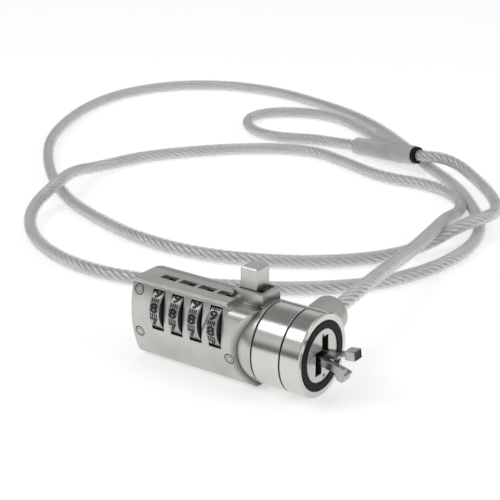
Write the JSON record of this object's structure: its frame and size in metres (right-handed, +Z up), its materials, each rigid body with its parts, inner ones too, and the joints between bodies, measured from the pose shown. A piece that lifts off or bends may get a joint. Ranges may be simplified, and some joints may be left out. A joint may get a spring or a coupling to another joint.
{
  "type": "laptop cable lock",
  "caption": "Laptop cable lock with numbered dials, a push button, a swivelling cable boss and a scissor hook, its steel cable laid in loose loops and ended in a sleeved eye.",
  "frame": {"origin": "centre of the lock's bounding box at the surface it lies on, cable left out", "axes": "+X along the head's axis towards the hook, the dials face -Y, +Z up and the way the button stands"},
  "size_m": [0.2198, 0.2243, 0.0273],
  "materials": {
    "zinc_casting": "satin nickel plate on a zinc casting",
    "polished_head": "turned and polished",
    "button_steel": "brushed",
    "dial_metal": "satin with black filled numbers",
    "inner_brass": "machined",
    "spring_steel": "drawn wire and strip",
    "hook_steel": "hardened and plated",
    "black_rubber": "matte",
    "cable_sheath": "clear sheath over laid steel strands",
    "sleeve_plastic": "milky translucent moulding",
    "crimp_metal": "pressed"
  },
  "bodies": {
    "swivel": {"swivel_ring": "polished_head", "cable_ferrule": "crimp_metal", "cable": "cable_sheath", "loop_sleeve": "sleeve_plastic", "loop_crimp": "crimp_metal", "sleeve_band": "black_rubber"},
    "lock_body": {"housing": "zinc_casting", "rear_cover": "zinc_casting", "drive_pins": "hook_steel", "nose_cap": "polished_head", "nose_core": "polished_head", "rubber_ring": "black_rubber", "hook_pin": "spring_steel", "detent_spring": "spring_steel", "button_spring": "spring_steel", "plunger_spring": "spring_steel"},
    "dial_a": {"dial_1": "dial_metal", "hub_1": "inner_brass"},
    "dial_b": {"dial_2": "dial_metal", "hub_2": "inner_brass"},
    "dial_c": {"dial_3": "dial_metal", "hub_3": "inner_brass"},
    "dial_d": {"dial_4": "dial_metal", "hub_4": "inner_brass"},
    "reset": {"reset_screw": "spring_steel"},
    "press": {"button": "button_steel"},
    "slider": {"spindle": "inner_brass", "yoke": "spring_steel", "plunger": "inner_brass"},
    "upper_hook": {"upper_arm": "hook_steel"},
    "lower_hook": {"lower_arm": "hook_steel"}
  },
  "joints": [
    {"name": "swivel", "type": "hinge", "parent": "swivel", "child": "lock_body", "pos_m": [0.01047, -0.00458, 0.01], "axis": [1, 0, 0], "continuous": true},
    {"name": "dial_1_turn", "type": "hinge", "parent": "lock_body", "child": "dial_a", "pos_m": [-0.0209, -0.00938, 0.0139], "axis": [1, 0, 0], "continuous": true},
    {"name": "dial_2_turn", "type": "hinge", "parent": "lock_body", "child": "dial_b", "pos_m": [-0.0153, -0.00938, 0.0139], "axis": [1, 0, 0], "continuous": true},
    {"name": "dial_3_turn", "type": "hinge", "parent": "lock_body", "child": "dial_c", "pos_m": [-0.0097, -0.00938, 0.0139], "axis": [1, 0, 0], "continuous": true},
    {"name": "dial_4_turn", "type": "hinge", "parent": "lock_body", "child": "dial_d", "pos_m": [-0.0041, -0.00938, 0.0139], "axis": [1, 0, 0], "continuous": true},
    {"name": "reset_turn", "type": "hinge", "parent": "lock_body", "child": "reset", "pos_m": [-0.0283, -0.00938, 0.0139], "axis": [1, 0, 0], "range_deg": [0, 90]},
    {"name": "button_press", "type": "slide", "parent": "lock_body", "child": "press", "axis": [0, 0, -1], "range_m": [0, 0.003], "stiffness_N_per_m": 400, "deforming": ["button_spring"]},
    {"name": "slide_release", "type": "slide", "parent": "lock_body", "child": "slider", "axis": [1, 0, 0], "range_m": [0, 0.002]},
    {"name": "upper_arm_close", "type": "hinge", "parent": "lock_body", "child": "upper_hook", "pos_m": [0.0158, -0.00383, 0.01], "axis": [0, 1, 0], "range_deg": [0, 7]},
    {"name": "lower_arm_close", "type": "hinge", "parent": "lock_body", "child": "lower_hook", "pos_m": [0.0158, -0.00533, 0.01], "axis": [0, 1, 0], "range_deg": [-12, 0]}
  ],
  "couplings": [
    {"joint": "slide_release", "follows": "button_press", "ratio": 0.6666},
    {"joint": "upper_arm_close", "follows": "button_press", "rad_per_m": 40.72},
    {"joint": "lower_arm_close", "follows": "button_press", "rad_per_m": -69.81}
  ]
}
